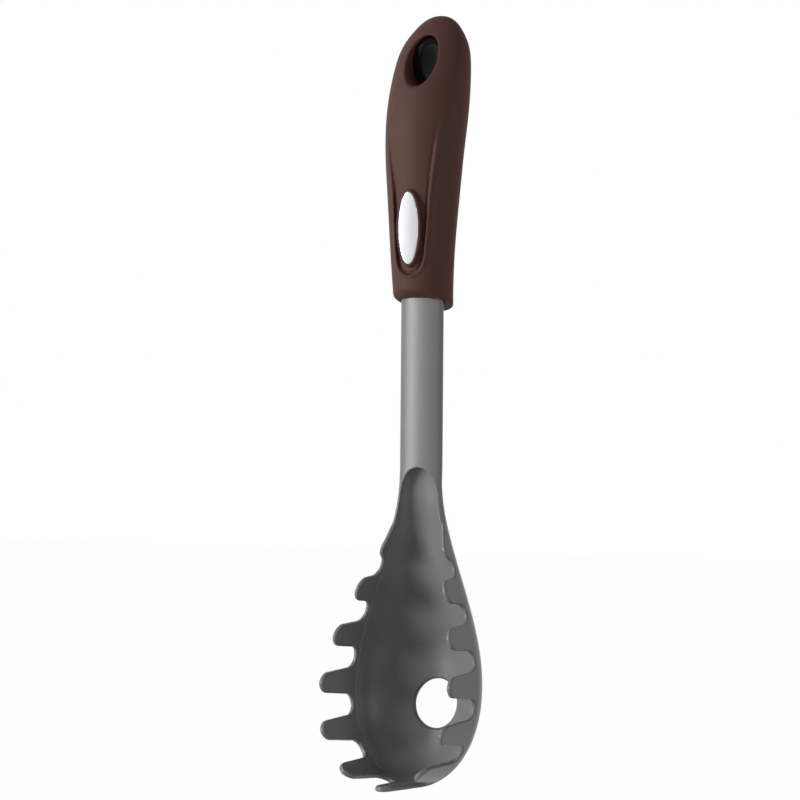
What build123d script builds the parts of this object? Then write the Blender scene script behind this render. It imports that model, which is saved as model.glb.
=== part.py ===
from build123d import *
import math
import os

# Pasta server in millimetres. +Z runs up the stem and the handle, the open
# front of the bowl faces -Y, and the origin is the centre of the hanging hole.
# Levels are heights from that hole, so most of the tool lies at minus Z.

# Stem: a flat oval with a shallow front and a deeper back
STEM_HALF_WIDTH = 10.05
STEM_FRONT = 2.8
STEM_BACK = 5.1

# Bowl outline, seen from the front
BOWL_BOTTOM = -300.7
WIDEST_LEVEL = -260.0
NECK_LEVEL = -173.0
BOWL_HALF_WIDTH = 30.8
OUTLINE_POWER_SHARE = 2.15
NECK_SKEW_SHARE = 0.06

# Bowl depth and walls
RIM_Y_AT_NECK = 0.5
RIM_Y_AT_BOTTOM = -6.1
DEPTH_SHARE = 0.70
NECK_BLEND = 30.0
WALL = 2.3
NECK_WALL = 1.9

# Scoop arch, where the bowl opens out of the stem
ARCH_LEVEL = -168.4
ARCH_LENGTH = 11.0

# Crown of tines round the rim
TINE_PITCH = 20.0
TINES_PER_SIDE = 5
CROWN_REACH = 30.0
CROWN_TOP = -186.0
TINE_LEDGE = 0.6
LEDGE_SET_BACK = 1.7
CROWN_DIP_DEG = 1.5
BOTTOM_FLARE_SHARE = 0.1
FLARE_DEG = 3.5
TINE_TAPER_DEG = 4.0
NOTCH_HALF_WIDTH = 4.3
NOTCH_CORNER = 3.9
NOTCH_LIFT = 0.3
TIP_CORNER = 3.3
TIP_DROP_SHARE = (0.0, 0.07, 0.145, 0.28, 0.445, 0.62, 0.79, 0.935, 1.03)
TIP_REACH_SHARE = (-0.03, 0.05, 0.14, 0.36, 0.57, 0.73, 0.79, 0.78, 0.78)

# Serving hole, one portion of dry pasta
SERVING_HOLE_DIAMETER = 20.5
SERVING_HOLE_LEVEL = -266.6

# Handle outline at stations down its length
GRIP_TOP = 19.4
GRIP_LENGTH = 125.4
GRIP_HALF_WIDTH = 17.9
GRIP_HALF_DEPTH = 14.3
GRIP_STATION_SHARE = (0.0, 0.02, 0.047, 0.10, 0.185, 0.32, 0.451, 0.589, 0.715, 0.826, 0.929, 1.0)
GRIP_WIDTH_SHARE = (0.21, 0.41, 0.60, 0.832, 0.961, 1.0, 0.972, 0.905, 0.827, 0.765, 0.721, 0.704)
GRIP_FRONT_SHARE = (0.84, 0.64, 0.44, 0.08, -0.315, -0.713, -0.797, -0.741, -0.741, -0.734, -0.685, -0.65)
GRIP_BACK_SHARE = (1.12, 1.20, 1.26, 1.35, 1.37, 1.287, 1.063, 0.909, 0.853, 0.853, 0.895, 0.937)
GRIP_WALL = 2.4
GRIP_TOP_EDGE = 1.3
CORE_FIRST_STATION = 2
GRIP_END_FRONT = -95.5
GRIP_END_SLANT_DEG = 20.0
GRIP_END_EDGE = 1.0

# Hanging hole through the handle
HOLE_HALF_WIDTH = 7.2
HOLE_HALF_HEIGHT = 10.6
HOLE_LINING = 2.2
HOLE_EDGE = 0.8
WEB_STEP = 3.5
WEB_THICKNESS = 8.0
WEB_Y = 13.0

# Thumb recess with a U-shaped crease below the badge
RECESS_DEPTH = 1.1
RECESS_FADE_SHARE = 0.05
RECESS_BOTTOM_SHARE = 0.863
RECESS_TOP_SHARE = 0.266
RECESS_HALF_WIDTH = 12.6
RECESS_DROP_SHARE = (0.10, 0.335, 0.505, 0.722, 0.842, 0.955)
RECESS_WIDTH_SHARE = (0.96, 0.817, 0.70, 0.61, 0.54, 0.33)

# Badge plate and its seat
BADGE_LEVEL_SHARE = 0.708
BADGE_FRONT_SHARE = -0.759
BADGE_LEAN_DEG = 2.1
BADGE_HALF_WIDTH = 4.8
BADGE_HALF_HEIGHT = 15.0
BADGE_THICKNESS = 1.2
BADGE_EDGE = 0.35
SEAT_RIM = 1.1
BADGE_PROUD = 0.5
PIN_DIAMETER = 1.8
PIN_LENGTH = 3.2
PIN_SPACING = 16.0

# Tang inside the handle
TANG_HALF_WIDTH = 7.2
TANG_HALF_DEPTH = 2.6
TANG_TOP = -44.0
TANG_SHOULDER = -90.0
TANG_CORNER = 1.2
LOCK_HOLE_DIAMETER = 5.0

FIT = 0.05
STEM_CLEARANCE = 0.35
OVERRUN = 5.0
SECTIONS_PER_CURVE = 8


def smooth(share):
    """Rise from 0 to 1 with level ends."""
    share = min(max(share, 0.0), 1.0)
    return share * share * (3 - 2 * share)


def rim_y(level):
    run = (level - NECK_LEVEL) / (BOWL_BOTTOM - NECK_LEVEL)
    return RIM_Y_AT_NECK + (RIM_Y_AT_BOTTOM - RIM_Y_AT_NECK) * run


def rounding(level, inset):
    """Share of the full width left at a level below the widest one."""
    if level >= WIDEST_LEVEL:
        return 1.0
    drop = min((WIDEST_LEVEL - level) / (WIDEST_LEVEL - BOWL_BOTTOM - inset), 1.0)
    return (1 - drop**OUTLINE_POWER_SHARE) ** (1 / OUTLINE_POWER_SHARE)


def half_width(level, inset=0.0):
    """Half the bowl's width, or its inside's when inset by the wall."""
    run = min(max((NECK_LEVEL - level) / (NECK_LEVEL - WIDEST_LEVEL), 0.0), 1.0)
    run += NECK_SKEW_SHARE * run * (1 - run)
    full = STEM_HALF_WIDTH + (BOWL_HALF_WIDTH - STEM_HALF_WIDTH) * smooth(run)
    return (full - inset) * rounding(level, inset)


def depth(level, inset=0.0):
    """Depth of the bowl behind its rim."""
    upper = max(level, WIDEST_LEVEL)
    share = STEM_BACK / STEM_HALF_WIDTH
    share += (DEPTH_SHARE - share) * smooth((ARCH_LEVEL - upper) / NECK_BLEND)
    return (half_width(upper) * share - inset) * rounding(level, inset)


def oval(level, half, front, back, y):
    """Oval of two half ellipses of one width and unlike depths."""
    plane = Plane(origin=(0, y, level), x_dir=(1, 0, 0), z_dir=(0, 0, 1))
    rear = plane * EllipticalCenterArc((0, 0), half, back, start_angle=0, arc_size=180)
    fore = plane * EllipticalCenterArc((0, 0), half, front, start_angle=180, arc_size=180)
    return Face(Wire([rear, fore]))


def bottom_levels(bottom):
    """Levels that close in on the bottom as the outline curves under."""
    angles = (0, 18, 36, 52, 66, 78)
    return [WIDEST_LEVEL + (bottom - WIDEST_LEVEL) * math.sin(math.radians(a)) for a in angles]


def even_levels(top):
    step = (WIDEST_LEVEL - top) / SECTIONS_PER_CURVE
    return [top + step * i for i in range(SECTIONS_PER_CURVE)]


def bowl_form():
    """Outside of the neck and bowl without the crown."""
    sections = []
    for level in even_levels(ARCH_LEVEL) + bottom_levels(BOWL_BOTTOM):
        front = STEM_FRONT * rounding(level, 0.0)
        sections.append(oval(level, half_width(level), front, depth(level), rim_y(level)))
    sections.append(Vertex(0, rim_y(BOWL_BOTTOM), BOWL_BOTTOM))
    return loft(sections)


def bowl_cavity():
    """Inside of the bowl, from the rounded arch down to its bottom."""
    bottom = BOWL_BOTTOM + WALL
    arch = [ARCH_LEVEL - ARCH_LENGTH * (1 - math.cos(math.radians(a))) for a in (15, 35, 60)]
    levels = arch + even_levels(ARCH_LEVEL - ARCH_LENGTH) + bottom_levels(bottom)
    sections = [Vertex(0, rim_y(ARCH_LEVEL), ARCH_LEVEL)]
    for level in levels:
        run = min((ARCH_LEVEL - level) / ARCH_LENGTH, 1.0)
        opening = math.sqrt(1 - (1 - run) ** 2)
        blend = smooth((NECK_LEVEL - level) / (NECK_LEVEL - WIDEST_LEVEL))
        wall = NECK_WALL + (WALL - NECK_WALL) * blend
        half = half_width(level, wall) * opening
        front = STEM_FRONT * opening * rounding(level, WALL)
        sections.append(oval(level, half, front, depth(level, WALL) * opening, rim_y(level)))
    sections.append(Vertex(0, rim_y(bottom), bottom))
    return loft(sections)


def rim_plane():
    """Plane of the rim, looking out of the open front."""
    forward = (0, BOWL_BOTTOM - NECK_LEVEL, RIM_Y_AT_NECK - RIM_Y_AT_BOTTOM)
    return Plane(origin=(0, RIM_Y_AT_NECK, NECK_LEVEL), x_dir=(1, 0, 0), z_dir=forward)


def crown_axis():
    """Way the tines point: out of the bowl and a little down."""
    dip = math.radians(CROWN_DIP_DEG)
    return Vector(0, -math.cos(dip), -math.sin(dip))


def grown(outline, extra):
    """The same outline in the rim plane, wider by extra."""
    plane = rim_plane()
    bowl_length = NECK_LEVEL - BOWL_BOTTOM
    wide = (BOWL_HALF_WIDTH + extra) / BOWL_HALF_WIDTH
    tall = (bowl_length + BOTTOM_FLARE_SHARE * extra) / bowl_length
    return plane.from_local_coords(scale(plane.to_local_coords(outline), by=(wide, tall, 1)))


def set_back(outline, distance):
    """The outline turned at the neck so that its bottom lies deeper."""
    hinge = Axis((0, RIM_Y_AT_NECK, NECK_LEVEL), (1, 0, 0))
    return outline.rotate(hinge, math.degrees(math.atan2(distance, NECK_LEVEL - BOWL_BOTTOM)))


def flared(outline, start, end, reach, depth_behind=0.0):
    """Ruled prism between two sizes of the rim's outline."""
    low = set_back(grown(outline, start), depth_behind).faces()[0]
    high = (Pos(crown_axis() * reach) * grown(outline, end)).faces()[0]
    return loft([low, high], ruled=True)


def crown_limit():
    """Block whose front follows the tips of the tines, seen from the side."""
    tips = []
    for drop, reach in zip(TIP_DROP_SHARE, TIP_REACH_SHARE):
        level = CROWN_TOP + (BOWL_BOTTOM - CROWN_TOP) * drop
        tips.append((0, rim_y(level) - CROWN_REACH * reach, level))
    behind = STEM_BACK + OVERRUN
    low, high = (0, behind, tips[-1][2]), (0, behind, tips[0][2])
    outline = Wire([Spline(tips), Line(tips[-1], low), Line(low, high), Line(high, tips[0])])
    half = BOWL_HALF_WIDTH + CROWN_REACH
    return extrude(Face(outline), amount=half, dir=(1, 0, 0), both=True)


def rim_curve():
    """Right half of the rim's outline, from the bottom up."""
    levels = [BOWL_BOTTOM] + bottom_levels(BOWL_BOTTOM)[::-1] + even_levels(ARCH_LEVEL)[::-1]
    points = [(half_width(level), rim_y(level), level) for level in levels]
    return Spline(points, tangents=[(1, 0, 0), (0, 0, 1)])


def rim_frame(curve, run):
    """Plane across the wall at a run along the rim: X along it, Z outward."""
    place = curve.position_at(run, position_mode=PositionMode.LENGTH)
    along = curve.tangent_at(run, position_mode=PositionMode.LENGTH)
    outward = along.cross(crown_axis())
    return Plane(origin=place, x_dir=crown_axis().cross(outward), z_dir=outward)


def notch_profile():
    """Rounded notch that widens towards the tips."""
    height = CROWN_REACH + OVERRUN
    spread = height * math.tan(math.radians(TINE_TAPER_DEG))
    low, high = NOTCH_HALF_WIDTH, NOTCH_HALF_WIDTH + spread
    outline = Polygon((-low, NOTCH_LIFT), (low, NOTCH_LIFT), (high, height), (-high, height),
                      align=None)
    lowest = outline.vertices().sort_by(Axis.Y)[:2]
    return fillet(lowest, NOTCH_CORNER)


def notch_cutters():
    curve = rim_curve()
    cutters = []
    for step in range(TINES_PER_SIDE + 1):
        frame = rim_frame(curve, TINE_PITCH * (step + 1 / 2))
        cutter = extrude(frame * notch_profile(), amount=WALL + OVERRUN, both=True)
        cutters += [cutter, mirror(cutter, about=Plane.YZ)]
    return cutters


def stem_blank():
    top = TANG_SHOULDER
    return extrude(oval(ARCH_LEVEL, STEM_HALF_WIDTH, STEM_FRONT, STEM_BACK, rim_y(ARCH_LEVEL)),
                   amount=top - ARCH_LEVEL)


def tang():
    """Flat tongue on top of the stem with a hole that locks the core on."""
    middle = rim_y(ARCH_LEVEL) + (STEM_BACK - STEM_FRONT) / 2
    plane = Plane(origin=(0, middle, TANG_SHOULDER), x_dir=(1, 0, 0), z_dir=(0, 0, 1))
    section = plane * RectangleRounded(2 * TANG_HALF_WIDTH, 2 * TANG_HALF_DEPTH, TANG_CORNER)
    tongue = extrude(section, amount=TANG_TOP - TANG_SHOULDER)
    level = (TANG_TOP + TANG_SHOULDER) / 2
    across = Plane(origin=(0, middle, level), x_dir=(1, 0, 0), z_dir=(0, -1, 0))
    lock = extrude(across * Circle(LOCK_HOLE_DIAMETER / 2), amount=STEM_BACK, both=True)
    return tongue - lock


def crosses_wall(edge, frame):
    """Reach out of the bowl of an edge that crosses a tine's wall, or nothing."""
    place, along = edge.center(), edge.position_at(1) - edge.position_at(0)
    side = math.copysign(1, place.X)
    place = frame.to_local_coords(Vector(side * place.X, place.Y, place.Z))
    along = Vector(side * along.X, along.Y, along.Z).normalized()
    square = abs(along.dot(frame.z_dir)) > math.cos(math.radians(30))
    near = abs(place.X) < TINE_PITCH / 2 and abs(place.Z) < 2 * WALL
    return place.Y if square and near else None


def tip_corners(crown):
    """Edges across the wall at the corners of the tines' tips."""
    curve = rim_curve()
    corners = []
    for step in range(TINES_PER_SIDE + 2):
        frame = rim_frame(curve, TINE_PITCH * step)
        reaches = [(crosses_wall(edge, frame), edge) for edge in crown.edges()]
        reaches = [(reach, edge) for reach, edge in reaches if reach is not None]
        farthest = max(reach for reach, edge in reaches)
        spread = TIP_CORNER / 2 if step > TINES_PER_SIDE else NOTCH_HALF_WIDTH + NOTCH_LIFT
        corners += [edge for reach, edge in reaches if reach > farthest - spread]
    return corners


def pasta_head():
    """Bowl, crown, stem and tang, moulded in one piece."""
    bowl, cavity = bowl_form(), bowl_cavity()
    flare = CROWN_REACH * math.tan(math.radians(FLARE_DEG))
    outside = section(bowl, section_by=rim_plane())
    inside = section(cavity, section_by=rim_plane())
    crown = flared(outside, 0, flare, CROWN_REACH + OVERRUN) & crown_limit()
    wider, farther = flare + TINE_LEDGE, CROWN_REACH + 2 * OVERRUN
    hollow = flared(inside, TINE_LEDGE, wider, farther, LEDGE_SET_BACK)
    notches = notch_cutters()
    crown = crown - hollow - notches
    crown = fillet(tip_corners(crown), TIP_CORNER)
    head = bowl + crown + stem_blank() + tang()
    head = head - cavity - hollow - notches
    across = Plane(origin=(0, 0, SERVING_HOLE_LEVEL), x_dir=(1, 0, 0), z_dir=(0, 1, 0))
    return head - extrude(across * Circle(SERVING_HOLE_DIAMETER / 2), amount=BOWL_HALF_WIDTH)


def station_level(share):
    return GRIP_TOP - GRIP_LENGTH * share


def handle_form(inset=0.0, first=0, recess=0.0):
    """Swept-back handle body, or a form inside it when inset by a wall."""
    sections = []
    rows = zip(GRIP_STATION_SHARE, GRIP_WIDTH_SHARE, GRIP_FRONT_SHARE, GRIP_BACK_SHARE)
    for share, wide, fore, rear in list(rows)[first:]:
        level = station_level(share)
        fade = smooth((share - RECESS_TOP_SHARE) / (BADGE_LEVEL_SHARE - RECESS_TOP_SHARE))
        sunk = inset + recess * (fade - RECESS_FADE_SHARE)
        front = GRIP_HALF_DEPTH * fore + sunk
        back = GRIP_HALF_DEPTH * rear - inset
        plane = Plane(origin=(0, (front + back) / 2, level), x_dir=(1, 0, 0), z_dir=(0, 0, 1))
        half = GRIP_HALF_WIDTH * wide - sunk
        sections.append((plane * Ellipse(half, (back - front) / 2)).faces()[0])
    return loft(sections)


def below_end(offset=0.0):
    """Block below the slanted bottom end of the handle."""
    size = 2 * GRIP_LENGTH
    block = Box(size, size, size, align=(Align.CENTER, Align.CENTER, Align.MAX))
    slant = Rot(X=-GRIP_END_SLANT_DEG) * block
    return Pos(0, -GRIP_HALF_DEPTH * abs(GRIP_FRONT_SHARE[-2]), GRIP_END_FRONT + offset) * slant


def hole_rims(body):
    """Closed edges round the hanging hole, front and back."""
    rims = []
    for edge in body.edges():
        extent = edge.bounding_box()
        as_wide = abs(extent.size.X - 2 * HOLE_HALF_WIDTH) < FIT
        if as_wide and abs(extent.center().Z) < HOLE_LINING and edge.is_closed:
            rims.append(edge)
    return rims


def hole_prism(margin, start=-2 * GRIP_HALF_DEPTH, end=2 * GRIP_HALF_DEPTH):
    """Oval prism along Y at the hanging hole, larger than it by a margin."""
    plane = Plane(origin=(0, start, 0), x_dir=(1, 0, 0), z_dir=(0, 1, 0))
    shape = plane * Ellipse(HOLE_HALF_WIDTH + margin, HOLE_HALF_HEIGHT + margin)
    return extrude(shape, amount=end - start)


def core_blank():
    """Core before its socket: the handle less the skin, webbed at the hole."""
    body = handle_form(GRIP_WALL, CORE_FIRST_STATION) - below_end(GRIP_WALL)
    low, high = WEB_Y - WEB_THICKNESS / 2, WEB_Y + WEB_THICKNESS / 2
    body = body - hole_prism(HOLE_LINING, end=low) - hole_prism(HOLE_LINING, start=high)
    return body - hole_prism(-WEB_STEP)


def stem_passage():
    """Way through the handle's end for the stem, with its running gap."""
    half = STEM_HALF_WIDTH + STEM_CLEARANCE
    front, back = STEM_FRONT + STEM_CLEARANCE, STEM_BACK + STEM_CLEARANCE
    bottom = station_level(GRIP_STATION_SHARE[-1])
    start = oval(bottom, half, front, back, rim_y(ARCH_LEVEL))
    return extrude(start, amount=TANG_SHOULDER + FIT - bottom)


def handle_core(stem_and_tang):
    """Hard inner handle moulded round the tang."""
    return core_blank() - stem_passage() - stem_and_tang


def badge_plane(lift=0.0):
    """Plane of the badge's face, or one parallel to it nearer the core."""
    lean = math.radians(BADGE_LEAN_DEG)
    outward = Vector(0, -math.cos(lean), math.sin(lean))
    face = Vector(0, GRIP_HALF_DEPTH * BADGE_FRONT_SHARE, station_level(BADGE_LEVEL_SHARE))
    return Plane(origin=face - outward * lift, x_dir=(1, 0, 0), z_dir=outward)


def recess_outline():
    """U-shaped crease with its open end above, seen from the front."""
    top, bottom = station_level(RECESS_TOP_SHARE), station_level(RECESS_BOTTOM_SHARE)
    right = [(RECESS_HALF_WIDTH * wide, top + (bottom - top) * drop)
             for drop, wide in zip(RECESS_DROP_SHARE, RECESS_WIDTH_SHARE)]
    left = [(-x, z) for x, z in reversed(right)]
    top_right, top_left = (RECESS_HALF_WIDTH, top), (-RECESS_HALF_WIDTH, top)
    curve = Spline([top_right] + right + [(0, bottom)] + left + [top_left])
    return Face(Wire([curve, Line(top_left, top_right)]))


def thumb_recess():
    """Space between the handle's surface and the recess floor below it."""
    plane = Plane(origin=(0, 0, 0), x_dir=(1, 0, 0), z_dir=(0, -1, 0))
    region = extrude(plane * recess_outline(), amount=2 * GRIP_HALF_DEPTH, dir=(0, -1, 0))
    return region - handle_form(recess=RECESS_DEPTH)


def badge_oval(margin, lift, thickness):
    """Oval disc in the badge's plane, from a lift below its face inwards."""
    shape = Ellipse(BADGE_HALF_WIDTH + margin, BADGE_HALF_HEIGHT + margin)
    return extrude(badge_plane(lift) * shape, amount=-thickness)


def badge_pins(margin=0.0):
    """Two locating pins behind the badge."""
    places = Locations((0, -PIN_SPACING / 2), (0, PIN_SPACING / 2))
    shapes = [place * Circle(PIN_DIAMETER / 2 + margin) for place in places.locations]
    plane = badge_plane(BADGE_THICKNESS)
    pins = [extrude(plane * shape, amount=-(PIN_LENGTH + margin)) for shape in shapes]
    return pins[0] + pins[1]


def badge_plate():
    plate = badge_oval(0, 0, BADGE_THICKNESS)
    edge = plate.edges().group_by(Axis.Y)[0]
    return chamfer(edge, BADGE_EDGE) + badge_pins()


def soft_grip():
    """Soft skin moulded over the core, with the badge's seat and the recess."""
    body = handle_form() - below_end()
    body = fillet(body.edges().group_by(Axis.Z)[0], GRIP_END_EDGE)
    body = fillet(body.edges().group_by(Axis.Z)[-1], GRIP_TOP_EDGE)
    body = body - hole_prism(0)
    body = fillet(hole_rims(body), HOLE_EDGE)
    body = body - thumb_recess()
    body = body + badge_oval(SEAT_RIM, BADGE_PROUD, GRIP_WALL)
    body = body - core_blank() - stem_passage()
    body = body - badge_oval(FIT, -OVERRUN, BADGE_THICKNESS + OVERRUN) - badge_pins(FIT)
    return body


def main():
    os.makedirs("parts", exist_ok=True)
    head = pasta_head()
    core = handle_core(stem_blank() + tang())
    core = core - badge_pins(FIT)
    parts = {
        "pasta_head": head,
        "handle_core": core,
        "soft_grip": soft_grip(),
        "badge_plate": badge_plate(),
    }
    for name, shape in parts.items():
        export_step(shape, f"parts/{name}.step")
        print(name, len(shape.solids()), round(shape.volume), shape.is_valid)


if __name__ == "__main__":
    main()
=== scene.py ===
"""Dresses a pasta server: nylon head, soft-touch handle and bare oval badge."""

import logging
import math
from dataclasses import dataclass, field
from enum import Enum
from typing import Callable, Sequence

import bpy
import numpy as np
from mathutils import Matrix, Vector

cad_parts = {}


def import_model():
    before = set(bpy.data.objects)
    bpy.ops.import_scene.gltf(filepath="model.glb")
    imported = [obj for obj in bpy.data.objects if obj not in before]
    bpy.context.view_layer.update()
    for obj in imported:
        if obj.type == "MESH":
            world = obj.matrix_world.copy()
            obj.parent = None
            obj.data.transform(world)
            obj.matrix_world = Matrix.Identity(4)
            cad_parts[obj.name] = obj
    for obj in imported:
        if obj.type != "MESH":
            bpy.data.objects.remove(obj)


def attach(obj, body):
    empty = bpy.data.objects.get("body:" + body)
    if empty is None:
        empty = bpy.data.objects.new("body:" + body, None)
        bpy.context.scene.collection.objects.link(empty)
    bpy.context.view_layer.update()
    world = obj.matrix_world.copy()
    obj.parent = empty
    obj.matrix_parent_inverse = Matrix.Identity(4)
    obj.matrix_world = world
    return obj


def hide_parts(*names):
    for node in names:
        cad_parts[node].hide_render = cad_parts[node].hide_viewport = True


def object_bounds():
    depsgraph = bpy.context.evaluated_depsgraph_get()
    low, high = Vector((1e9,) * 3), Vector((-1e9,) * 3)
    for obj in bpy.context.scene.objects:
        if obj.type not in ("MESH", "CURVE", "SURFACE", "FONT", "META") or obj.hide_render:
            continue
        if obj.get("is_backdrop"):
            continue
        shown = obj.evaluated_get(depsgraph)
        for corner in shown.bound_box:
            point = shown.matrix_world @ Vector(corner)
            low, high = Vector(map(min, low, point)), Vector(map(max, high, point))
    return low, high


log = logging.getLogger("pasta_server")

MM = 0.001

# Least values that keep a quotient finite
TINY = 1e-9
LEAST_SLOPE = 1e-3

Array = np.ndarray
Form = Callable[[Array, Array, Array], Array]


class MouldTexture(Enum):
    """How the mould's surface was made, as the grain size and depth it leaves in millimetres."""

    # The real grain is about ten times finer, so it is drawn as coarse as it needs to show
    SPARK_ERODED = (0.7, 0.006)
    BEAD_BLASTED = (0.6, 0.008)
    AS_MILLED = (0.8, 0.01)
    STONED = (0.4, 0.002)
    POLISHED = (0.4, 0.001)


def linear(hex_colour: str) -> tuple[float, float, float, float]:
    """Turn an sRGB hex colour into a linear one.

    Args:
        hex_colour: Six hex digits, such as "6E6E6E".

    Returns:
        Linear red, green and blue with an alpha of 1.
    """
    parts = [int(hex_colour[i : i + 2], 16) / 255 for i in (0, 2, 4)]
    low_high = [c / 12.92 if c <= 0.04045 else ((c + 0.055) / 1.055) ** 2.4 for c in parts]
    return (*low_high, 1.0)


def add_node(tree: bpy.types.NodeTree, kind: str, settings: dict, links: dict) -> bpy.types.Node:
    """Add a node with its settings and links.

    Args:
        tree: Tree that gets the node.
        kind: The node's type name.
        settings: Socket values by name or index, and properties by ".name".
        links: Output sockets that feed this node's inputs, by input name or index.

    Returns:
        The new node.
    """
    node = tree.nodes.new(kind)
    for name, value in settings.items():
        if isinstance(name, str) and name.startswith("."):
            setattr(node, name[1:], value)
        else:
            node.inputs[name].default_value = value
    for name, output in links.items():
        tree.links.new(output, node.inputs[name])
    return node


def add_object(name: str, data: bpy.types.ID) -> bpy.types.Object:
    """Put a mesh, a lamp or a camera into the scene.

    Args:
        name: The object's name.
        data: What the object shows.

    Returns:
        The new object.
    """
    thing = bpy.data.objects.new(name, data)
    bpy.context.scene.collection.objects.link(thing)
    return thing


@dataclass(frozen=True)
class Finish:
    """A moulded surface: its colour, its tone drift and its fine relief."""

    name: str
    colour: str
    drift_colour: str
    roughness: float
    roughness_drift: float
    drift_mm: float
    texture: MouldTexture
    metallic: float = 0.0
    ior: float = 1.5
    specular: float = 0.5

    def make(self) -> bpy.types.Material:
        """Build the material's nodes.

        Returns:
            The finished material.
        """
        material = bpy.data.materials.new(self.name)
        material.use_nodes = True
        tree = material.node_tree
        shader = tree.nodes["Principled BSDF"]
        shader.inputs["Metallic"].default_value = self.metallic
        shader.inputs["IOR"].default_value = self.ior
        shader.inputs["Specular IOR Level"].default_value = self.specular
        place = add_node(tree, "ShaderNodeTexCoord", {}, {}).outputs["Object"]
        grain_mm, depth_mm = self.texture.value
        drift, grain = (
            add_node(
                tree,
                "ShaderNodeTexNoise",
                {"Scale": 1 / (size_mm * MM), "Detail": detail, "Roughness": fine_share},
                {"Vector": place},
            )
            for size_mm, detail, fine_share in ((self.drift_mm, 3.0, 0.5), (grain_mm, 2.0, 0.6))
        )
        tones = {".data_type": "RGBA", 6: linear(self.colour), 7: linear(self.drift_colour)}
        tone = add_node(tree, "ShaderNodeMix", tones, {0: drift.outputs["Fac"]})
        span = {3: self.roughness - self.roughness_drift, 4: self.roughness + self.roughness_drift}
        rough = add_node(tree, "ShaderNodeMapRange", span, {0: drift.outputs["Fac"]})
        depth = {"Strength": 1.0, "Distance": depth_mm * MM}
        relief = add_node(tree, "ShaderNodeBump", depth, {"Height": grain.outputs["Fac"]})
        tree.links.new(tone.outputs[2], shader.inputs["Base Color"])
        tree.links.new(rough.outputs[0], shader.inputs["Roughness"])
        tree.links.new(relief.outputs["Normal"], shader.inputs["Normal"])
        return material


# Glass-filled nylon, moulded in a finely etched tool: an even mid grey with a soft, wide sheen
NYLON = Finish(
    "grey_moulded_nylon",
    colour="6B6B6C",
    drift_colour="707071",
    roughness=0.34,
    roughness_drift=0.03,
    drift_mm=14.0,
    texture=MouldTexture.SPARK_ERODED,
    specular=0.25,
)
# Thermoplastic elastomer, moulded over the core: dark brown, dry and soft, hardly any gleam
SOFT_TOUCH = Finish(
    "brown_soft_touch_elastomer",
    colour="482E28",
    drift_colour="4B312A",
    roughness=0.6,
    roughness_drift=0.04,
    drift_mm=18.0,
    texture=MouldTexture.BEAD_BLASTED,
    specular=0.13,
)
# Polypropylene core, unpolished: near black with a dull gleam
CORE = Finish(
    "black_polypropylene",
    colour="070505",
    drift_colour="0B0808",
    roughness=0.55,
    roughness_drift=0.04,
    drift_mm=10.0,
    texture=MouldTexture.AS_MILLED,
    specular=0.06,
)
# Satin-lacquered ABS badge: pale silver white that picks up a soft gleam
BADGE = Finish(
    "satin_silver_abs",
    colour="C2C2C6",
    drift_colour="BEBEC2",
    roughness=0.4,
    roughness_drift=0.03,
    drift_mm=6.0,
    texture=MouldTexture.STONED,
)
# The same badge's rounded edge, buffed to a mirror that catches one bright line
BADGE_RIM = Finish(
    "buffed_silver_abs",
    colour="B9B9BD",
    drift_colour="B2B2B6",
    roughness=0.14,
    roughness_drift=0.02,
    drift_mm=6.0,
    texture=MouldTexture.POLISHED,
    metallic=0.85,
)


def smooth(share: Array) -> Array:
    """Rise from 0 to 1 with level ends."""
    share = np.clip(share, 0.0, 1.0)
    return share * share * (3 - 2 * share)


def overlap(one: Array, other: Array, radius: float) -> Array:
    """Distance to what two forms share, with the convex edge between them rounded.

    Args:
        one: Distance to the first form, negative inside it.
        other: Distance to the second form.
        radius: Radius of the rounded edge in millimetres.

    Returns:
        Distance to the shared form.
    """
    inner = np.minimum(np.maximum(one, other) + radius, 0.0)
    outer = np.hypot(np.maximum(one + radius, 0.0), np.maximum(other + radius, 0.0))
    return inner + outer - radius


def slopes(form: Form, x: Array, y: Array, z: Array, step: float) -> tuple[Array, Array]:
    """Read a form's measure and how fast it rises along each axis.

    Args:
        form: Function that is zero on the surface and negative inside.
        x, y, z: Places to measure at.
        step: Length over which the rise is read, in millimetres.

    Returns:
        The measures, and the three rises for each millimetre.
    """
    here = form(x, y, z)
    ahead = np.stack([form(x + step, y, z), form(x, y + step, z), form(x, y, z + step)])
    return here, (ahead - here) / step


def slope_evened(form: Form, x: Array, y: Array, z: Array) -> Array:
    """Turn a form's own measure into a distance in millimetres near its surface.

    Args:
        form: Function that is zero on the surface and negative inside.
        x, y, z: Places to measure at.

    Returns:
        Distances, negative inside the form.
    """
    step, least = 0.01, 1e-4
    here, rises = slopes(form, x, y, z, step)
    return here / np.maximum(np.linalg.norm(rises, axis=0), least)


def oval_distance(across: Array, along: Array, half_across: Array, half_along: Array) -> Array:
    """Distance to an oval prism, negative inside it.

    Args:
        across: Offset from the oval's middle on its first axis.
        along: Offset from the oval's middle on its second axis.
        half_across: Half size on the first axis.
        half_along: Half size on the second axis.

    Returns:
        Distances in the units of the offsets.
    """
    reach = np.hypot(across / half_across, along / half_along) + TINY
    slope = np.hypot(across / half_across**2, along / half_along**2) / reach
    return (reach - 1) / np.maximum(slope, LEAST_SLOPE)


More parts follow.
